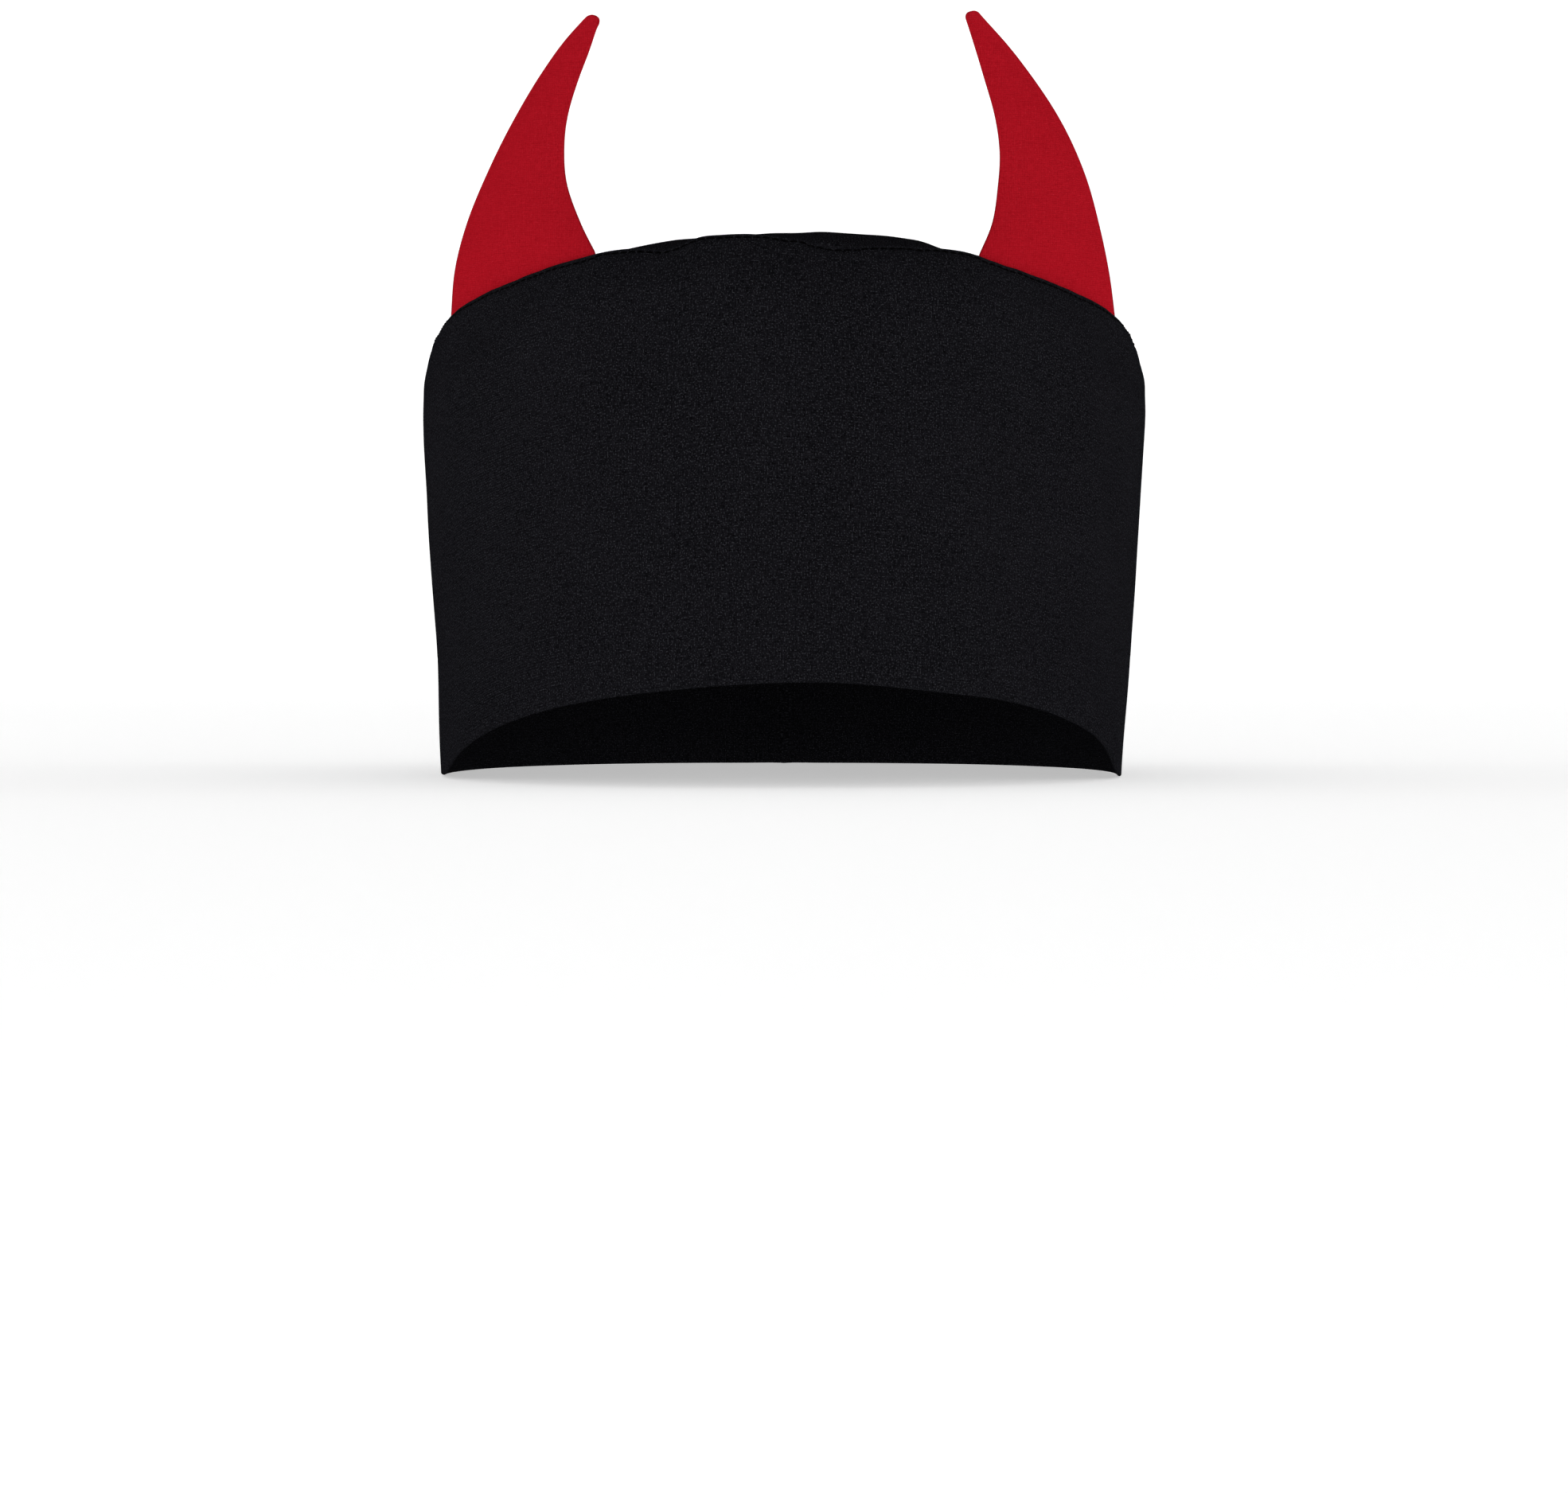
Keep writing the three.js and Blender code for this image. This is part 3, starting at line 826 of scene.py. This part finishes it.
# Numbers of the points of the front and back layers, which share their edges, and of the tip
def hornLayers(rows, across):
    front = np.arange(rows * across).reshape(rows, across)
    back = front.copy()
    back[:, 1:-1] = rows * across + np.arange(rows * (across - 2)).reshape(rows, across - 2)
    return front, back, rows * across + rows * (across - 2)


def hornPoints(flat, half, tip):  # out, behind and up
    front = np.stack([flat[..., 0], -half, flat[..., 1]], -1)
    back = np.stack([flat[..., 0], half, flat[..., 1]], -1)[:, 1:-1]
    return np.concatenate([front.reshape(-1, 3), back.reshape(-1, 3), [[tip[0], 0, tip[1]]]])


# Faces of both layers and of the sewn-in end, with the place of each corner on the pattern
def hornFaces(flat, tip, front, back, tipIndex):
    rows, across = front.shape
    faces, corners = [], []
    for grid, pattern in ((front[:, ::-1], flat[:, ::-1]), (back, flat)):
        for r in range(rows - 1):
            for c in range(across - 1):
                cell = ((r, c), (r, c + 1), (r + 1, c + 1), (r + 1, c))
                faces.append([int(grid[place]) for place in cell])
                corners.append([pattern[place] for place in cell])
        for c in range(across - 1):
            faces.append([int(grid[-1, c]), int(grid[-1, c + 1]), tipIndex])
            corners.append([pattern[-1, c], pattern[-1, c + 1], tip])
    for c in range(across - 1):
        end = dict.fromkeys([front[0, c], front[0, c + 1], back[0, c + 1], back[0, c]])
        faces.append([int(k) for k in end])
        corners.append([flat[0, c]] * len(end))
    return faces, corners


# Fills the bag with Blender's cloth, sewn edges held
def fillBag(points, faces, held):
    mesh = bpy.data.meshes.new("hornBag")
    mesh.from_pydata((points * horns["simScale"]).tolist(), [], faces)
    bag = addObject("hornBag", mesh)
    sewn = bag.vertex_groups.new(name="sewn")
    sewn.add([int(k) for k in held], 1.0, "REPLACE")
    cloth = bag.modifiers.new("filling", "CLOTH")
    for setting, value in horns["cloth"].items():
        setattr(cloth.settings, setting, value)
    cloth.settings.vertex_group_mass = "sewn"
    cloth.settings.effector_weights.gravity = 0
    cloth.collision_settings.use_collision = False
    cloth.point_cache.frame_start = 1
    cloth.point_cache.frame_end = horns["frames"]
    for step in range(1, horns["frames"] + 1):
        scene.frame_set(step)
    graph = bpy.context.evaluated_depsgraph_get()
    filled = np.empty(len(points) * 3)
    bag.evaluated_get(graph).data.vertices.foreach_get("co", filled)
    scene.frame_set(1)
    bpy.data.objects.remove(bag)
    return filled.reshape(-1, 3) / horns["simScale"]


def evenedRows(grid):
    reach = int(3 * horns["evenRows"])
    weights = bell(np.arange(-reach, reach + 1), horns["evenRows"])
    weights /= weights.sum()
    padded = np.pad(grid, ((reach, reach), (0, 0)), mode="edge")
    return sum(weight * padded[k:k + len(grid)] for k, weight in enumerate(weights))


# Half thickness over the pattern: thin at the seam, filled above it, full at the edges, spread at the foot
def hornHalf(flat, tip, faces, front, back, outline):
    rows, across = front.shape
    wide = np.linspace(0, 1, across)
    thin = horns["flatHalf"] * hornProfile(wide) * np.ones((rows, 1))
    points = hornPoints(flat, thin, tip)
    sewnIn = [layer[:seamRow + 1].ravel() for layer in (front, back)]
    held = np.unique(np.concatenate([outline, *sewnIn]))
    moved = fillBag(points, [face[::-1] for face in faces], held)
    full = evenedRows((moved[back, 1] - moved[front, 1]) / 2)
    full = horns["mostHalf"] * np.tanh(full / horns["mostHalf"])
    rising = np.clip((flat[..., 1] - flat[seamRow, :, 1].min()) / horns["fillEase"], 0, 1)
    rising = rising * rising * (3 - 2 * rising)
    edgeRise = np.clip((np.arange(rows) - seamRow - horns["edgeFrom"]) / horns["edgeRows"], 0, 1)[:, None]
    edged = horns["edgeHalf"] * (1 - np.abs(2 * wide - 1) ** horns["edgePower"]) * edgeRise
    half = np.maximum(mix(thin, full, rising), edged)
    half[:seamRow] = horns["footHalf"][:, None] * hornProfile(wide) ** horns["footPower"]
    return half


# Smooths a horn with its outline kept sharp
def smoothHorn(piece, outline):
    mesh = piece.data
    ends = np.empty(len(mesh.edges) * 2, np.int32)
    mesh.edges.foreach_get("vertices", ends)
    sharp = np.isin(ends, outline).reshape(-1, 2).all(axis=1)
    crease = mesh.attributes.new("crease_edge", "FLOAT", "EDGE")
    crease.data.foreach_set("value", sharp.astype(np.float32))
    smooth = piece.modifiers.new("smooth", "SUBSURF")
    smooth.levels = smooth.render_levels = horns["smoothLevels"]
    piece.data = plainMesh(piece)


def makeHorn(name, node, horn):
    flat, tip = hornPattern(horn)
    front, back, tipIndex = hornLayers(*flat.shape[:2])
    faces, corners = hornFaces(flat, tip, front, back, tipIndex)
    outline = np.concatenate([front[:, 0], front[:, -1], [tipIndex]])
    half = hornHalf(flat, tip, faces, front, back, outline)
    outward, behind, up = hornPoints(flat, half, tip).T
    placed = placeOnSeam(outward, -behind, up, horn["side"])
    if horn["side"] > 0:  # mirrored, so turn the faces out
        faces, corners = [[face[::-1] for face in kind] for kind in (faces, corners)]
    piece = finishMesh(name, placed, faces, np.concatenate(corners), redCloth)
    smoothHorn(piece, outline)
    standFor(piece, node)
    print(name, "filled to %.1f mm" % (2 * half[seamRow:].max() / mm))


makeHorn("horn_left_cloth", "horn_left", horns["left"])
makeHorn("horn_right_cloth", "horn_right", horns["right"])


# Crown: one panel drawn into the seam, a low soft dome

crown = {
    "columns": 480,
    "rows": 46,
    "rowGather": 0.8,  # how far the rows crowd out to the seam
    "innerRows": 18,
    "innerFrom": 5,  # rows from the edge where the inner face starts
    "rise": 15.0 * mm,
    "fullness": 3.7,
    "wall": 1.6 * mm,
    "edgeGap": 0.3 * mm,  # between the edge and the seam
    "slotBeyond": 1.2 * mm,  # the edge makes room a little beyond each horn
    "slotPower": 8,  # the powers say how near the edge each change stays
    "wavePower": 12,
    "tuckPower": 60,
    "tuckDrop": 0.5 * mm,  # how far the edge sinks behind the band's fold
    "tuckDepth": 2.3 * mm,
    "tuckFlare": 0.6 * mm,  # how far the seam allowance reaches under the fold
    "tuck": [  # inset in walls, share of the flare, share of the depth
        (0, 0, 0.3), (0, 0.5, 0.6), (0, 1, 0.88), (0, 0.9, 1), (0.3, 0.3, 1.05), (0.75, 0, 1), (1, 0, 0.75),
    ],
    "uneven": [(36.0 * mm, 1.0, 1.0, 21), (16.0 * mm, 1.0, 0.5, 22)],  # size, upright stretch, share, seed
    "unevenDepth": 1.1 * mm,
    "unevenPower": 10,
    "slackBehind": 0.7,  # how much looser the cloth lies behind the front
    "slackFrom": -30.0 * mm,
    "slackOver": 40.0 * mm,
    "puckers": [(1.0, 1.0, 1.0, 23)],  # listed like uneven
    "puckerTurns": 14.0,  # how closely the puckers stand round the edge
    "puckerReach": 0.8,  # how soon they change towards the middle
    "puckerDepth": 0.55 * mm,
    "puckerPower": 9,
    "frontSag": [  # millimetres across, sag in millimetres
        (-60, -0.6), (-32, -1.5), (-22, -0.95), (-14, -1.1), (-4, -0.85), (3.4, -0.9), (8.4, -0.5),
        (16, -0.35), (26, -0.2), (29, -0.2), (34, -1.1), (44, -1.2), (60, -0.5),
    ],
    "sagOver": 40.0 * mm,  # from the middle to the front
    "sagPower": 14,
}


def crownTree(sizes):
    tree, size = geometryTree("crownForm", sizes)
    grid, turn, share = startGrid(tree, size)
    x, y = ovalPlan(turn, insetSeam(size["Seam Gap"]), size["Plan Power"])
    dome = size["Crown Rise"] * (1.0 - share ** size["Crown Fullness"])
    place = combine(tree, x * share, y * share, seamSurface(y * share, size) + dome)
    endGrid(tree, size, grid, turn, share, place)
    return tree


# Draws the edge back behind the horns and lays the sag, the seam's waves, the loose cloth and the puckers
def dressCrown(points, turn, share):
    points, share = points.copy(), np.clip(share, 0, 1)
    gap = mix(crown["edgeGap"], horns["slot"], slotShare(turn, crown["slotBeyond"]))
    plain = np.hypot(*ovalPlan(turn, insetSeam(crown["edgeGap"])))
    slotted = np.hypot(*ovalPlan(turn, insetSeam(gap)))
    points[..., :2] *= (1 + (slotted / plain - 1) * share ** crown["slotPower"])[..., None]
    x, y = points[..., 0], points[..., 1]
    turns = crown["puckerTurns"]
    spokes = np.stack([np.cos(turn) * turns, np.sin(turn) * turns, share * crown["puckerReach"]], -1)
    loose = 1 + crown["slackBehind"] * np.clip((y - crown["slackFrom"]) / crown["slackOver"], 0, 1)
    uneven = unevenness(points, crown["uneven"]) * loose * (1 - share ** crown["unevenPower"])
    sag = riseAlong(x / mm, crown["frontSag"]) * np.clip(-y / crown["sagOver"], 0, 1)
    lift = sag * (1 - share ** crown["sagPower"]) + crown["unevenDepth"] * uneven
    lift += seamWave(turn) * share ** crown["wavePower"]
    lift += crown["puckerDepth"] * unevenness(spokes, crown["puckers"]) * share ** crown["puckerPower"]
    lift -= crown["tuckDrop"] * share ** crown["tuckPower"]
    points[..., 2] += lift
    return points


# Section from the top out to the edge, down the tucked seam allowance and back under the top
def crownSection(outer, turn):
    edge = outer[:, -1]
    outward = unit(edge * np.array((1, 1, 0)))
    flare = outward * crown["tuckFlare"] * (1 - slotShare(turn[:, -1:], crown["slotBeyond"])) ** 2
    tuck = []
    for inset, flared, drop in crown["tuck"]:
        down = np.array((0, 0, drop * crown["tuckDepth"]))
        tuck.append(edge - outward * inset * crown["wall"] + flare * flared - down)
    innerPick = np.linspace(crown["rows"] - crown["innerFrom"], 0, crown["innerRows"]).round().astype(int)
    inner = outer[:, innerPick] - np.array((0, 0, crown["wall"]))
    return np.concatenate([outer, np.stack(tuck, 1), inner], axis=1)


def makeCrown(section):
    columns, rows = section.shape[:2]
    faces = wrapFaces(columns, rows, False)[0]
    middle = section[:, 0].mean(axis=0)
    places = np.concatenate([section.reshape(-1, 3), [middle, middle - np.array((0, 0, crown["wall"]))]])
    top, under = columns * rows, columns * rows + 1
    for c in range(columns):
        d = (c + 1) % columns
        faces.append((d * rows, c * rows, top))
        faces.append((c * rows + rows - 1, d * rows + rows - 1, under))
    faces = [face[::-1] for face in faces]  # the rows run outwards here, so turn the faces out
    corners = [places[k, :2] for face in faces for k in face]
    print("crown sewn:", len(faces), "faces")
    return finishMesh("crown_cloth", places, faces, corners, blackCloth)


crownSizes = gridSizes(crown, {
    "Seam Gap": crown["edgeGap"], "Crown Rise": crown["rise"], "Crown Fullness": crown["fullness"]})
crownGrid = formGrid(crownTree(crownSizes), crownSizes)
# The last column is the first again, and the first row is the middle
crownPoints, crownTurn, crownShare = [values[:-1, 1:] for values in crownGrid]
crownOuter = dressCrown(crownPoints, crownTurn, crownShare)
crownPiece = makeCrown(crownSection(crownOuter, crownTurn))
standFor(crownPiece, "crown")


# Topstitching: one row of black thread just below the fold

stitching = {
    "Stitch Pitch": 1.95 * mm,
    "Stitch Length": 1.35 * mm,
    "Thread Radius": 0.25 * mm,
    "Arch": 0.13 * mm,
    "Wobble": 0.12,
    "Seed": 7,
    "Thread Material": blackSewing,
}


def stitchTree(sizes):
    tree, size = geometryTree("topstitch", sizes, takesPath=True)
    line = addNode(tree, "GeometryNodeMeshToCurve", {"Mesh": size["Path"]})
    spaced = {"Curve": out(line), "Length": size["Stitch Pitch"]}
    path = addNode(tree, "GeometryNodeResampleCurve", spaced, mode="LENGTH")
    half, arch = size["Stitch Length"] / 2, size["Arch"]
    bow = addNode(tree, "GeometryNodeCurveQuadraticBezier", {
        "Resolution": 7,
        "Start": combine(tree, -half, 0.0, -arch),
        "Middle": combine(tree, 0.0, 0.0, arch * 2.0),
        "End": combine(tree, half, 0.0, -arch),
    })
    ring = addNode(tree, "GeometryNodeCurvePrimitiveCircle",
                   {"Resolution": 6, "Radius": size["Thread Radius"]})
    stitch = addNode(tree, "GeometryNodeCurveToMesh",
                     {"Curve": out(bow), "Profile Curve": out(ring), "Fill Caps": True})
    away = addNode(tree, "GeometryNodeInputNamedAttribute", {"Name": "away"}, data_type="FLOAT_VECTOR")
    lying = addNode(tree, "FunctionNodeAlignRotationToVector",
                    {"Vector": out(addNode(tree, "GeometryNodeInputTangent"))}, axis="X")
    facing = addNode(tree, "FunctionNodeAlignRotationToVector",
                     {"Rotation": out(lying), "Vector": out(away)}, axis="Z", pivot_axis="X")
    chance = addNode(tree, "FunctionNodeRandomValue", {"Seed": size["Seed"]}, data_type="FLOAT_VECTOR")
    for slot, limit in ((0, 1.0 - size["Wobble"]), (1, 1.0 + size["Wobble"])):
        plug(chance.inputs[slot], combine(tree, limit, limit, limit))
    sewn = addNode(tree, "GeometryNodeInstanceOnPoints", {
        "Points": out(path), "Instance": out(stitch), "Rotation": out(facing), "Scale": out(chance)})
    endTree(tree, out(sewn), size["Thread Material"])
    return tree


# The band's surface where the stitches lie, as a closed line that knows which way is out
def stitchLine():
    nearest = np.argmin(np.abs(below - band["stitchDrop"]), axis=1)
    columns = np.arange(len(nearest))
    outwards = bandNormal[columns, nearest]
    points = bandOuter[columns, nearest] + outwards * band["stitchLift"]
    mesh = bpy.data.meshes.new("stitchLine")
    mesh.from_pydata(points.tolist(), np.stack([columns, np.roll(columns, -1)], -1).tolist(), [])
    away = mesh.attributes.new("away", "FLOAT_VECTOR", "POINT")
    away.data.foreach_set("vector", outwards.astype(np.float32).ravel())
    return mesh


sewing = meshFromTree(stitchTree(stitching), stitching, stitchLine())
shadeSmooth(sewing)
stitchPiece = addObject("band_topstitch", sewing)
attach(stitchPiece, "root")
print("topstitch:", len(sewing.polygons), "faces")


# Stage: white sweep all round, soft light from all sides, camera at the photograph's height

stage = {
    "floorRings": (0.001, 0.3, 1.0, 2.2),  # radii of the level floor
    "curve": 0.9,
    "curveSteps": 12,
    "wallTop": 1.3,
    "segments": 96,
    "white": (0.93, 0.93, 0.93, 1.0),
    "glowColour": (1.0, 1.0, 1.0, 1.0),
    "floorGlow": 0.48,
    "wallGlow": 0.5,
    "glowFrom": 1.2,  # metres from the cap where the glow starts to grow
    "glowTo": 2.6,
    "worldStrength": 0.35,
    "lights": [  # name, place, size, watts
        ("front", (0.0, -2.1, 0.3), (1.4, 0.6), 4.8),
        ("leftSide", (-1.7, 0.2, 0.25), (0.6, 0.6), 3.5),
        ("rightSide", (1.7, 0.2, 0.25), (0.6, 0.6), 4.2),
        ("back", (0.0, 2.1, 0.3), (1.4, 0.6), 3.0),
    ],
    "aim": (0.0, 0.0, 0.07),
}


def floorMaterial():
    material, tree, shader = newMaterial("paleFloor")
    x, y = separate(out(addNode(tree, "ShaderNodeTexCoord"), "Object"))[:2]
    farOut = (root(x * x + y * y) - stage["glowFrom"]) / (stage["glowTo"] - stage["glowFrom"])
    setInputs(shader, {
        "Base Color": stage["white"],
        "Roughness": 1.0,
        "Specular IOR Level": 0.0,
        "Emission Color": stage["glowColour"],
        "Emission Strength": mix(stage["floorGlow"], stage["wallGlow"], noughtToOne(farOut)),
    })
    return material


def buildFloor():
    profile = [(ring, 0.0) for ring in stage["floorRings"]]
    edge, curve, count = stage["floorRings"][-1], stage["curve"], stage["segments"]
    for angle in np.linspace(0, math.pi / 2, stage["curveSteps"] + 1)[1:]:
        profile.append((edge + curve * math.sin(angle), curve * (1 - math.cos(angle))))
    profile.append((edge + curve, stage["wallTop"]))
    points, faces = [], [tuple(range(count))]
    for reach, height in profile:
        for angle in np.arange(count) * 2 * math.pi / count:
            points.append((reach * math.cos(angle), reach * math.sin(angle), height))
    for start in range(0, (len(profile) - 1) * count, count):
        for k in range(count):
            m = (k + 1) % count
            faces.append((start + k, start + count + k, start + count + m, start + m))
    mesh = bpy.data.meshes.new("floor")
    mesh.from_pydata(points, [], faces)
    shadeSmooth(mesh)
    mesh.materials.append(floorMaterial())
    addObject("floor", mesh)


def buildLights():
    scene.world = bpy.data.worlds.new("studio")
    scene.world.use_nodes = True
    sky = scene.world.node_tree.nodes["Background"]
    setInputs(sky, {"Color": stage["glowColour"], "Strength": stage["worldStrength"]})
    for name, place, size, watts in stage["lights"]:
        data = bpy.data.lights.new(name, "AREA")
        data.shape = "RECTANGLE"
        data.size, data.size_y = size
        data.energy = watts
        lamp = addObject(name, data)
        lamp.location = place
        lamp.rotation_euler = (Vector(stage["aim"]) - Vector(place)).to_track_quat("-Z", "Y").to_euler()
        lamp.visible_camera = False


view = {
    "distance": 1.5,
    "height": 45 * mm,
    "focalPixels": 8465.6,  # in the 1970 x 1876 frame
    "frameWidth": 1970,
    "middleRow": 938,
    "eyeRow": 720,
    "sensor": 36.0,
}


def buildCamera():
    data = bpy.data.cameras.new("camera")
    data.sensor_width = view["sensor"]
    data.lens = view["focalPixels"] / view["frameWidth"] * view["sensor"]
    camera = addObject("camera", data)
    camera.location = (0.0, -view["distance"], view["height"])
    down = math.atan((view["middleRow"] - view["eyeRow"]) / view["focalPixels"])
    camera.rotation_euler = (math.pi / 2 - down, 0.0, 0.0)
    scene.camera = camera
    scene.view_settings.view_transform = "Standard"


buildFloor()
buildLights()
buildCamera()
print("stage and camera set")
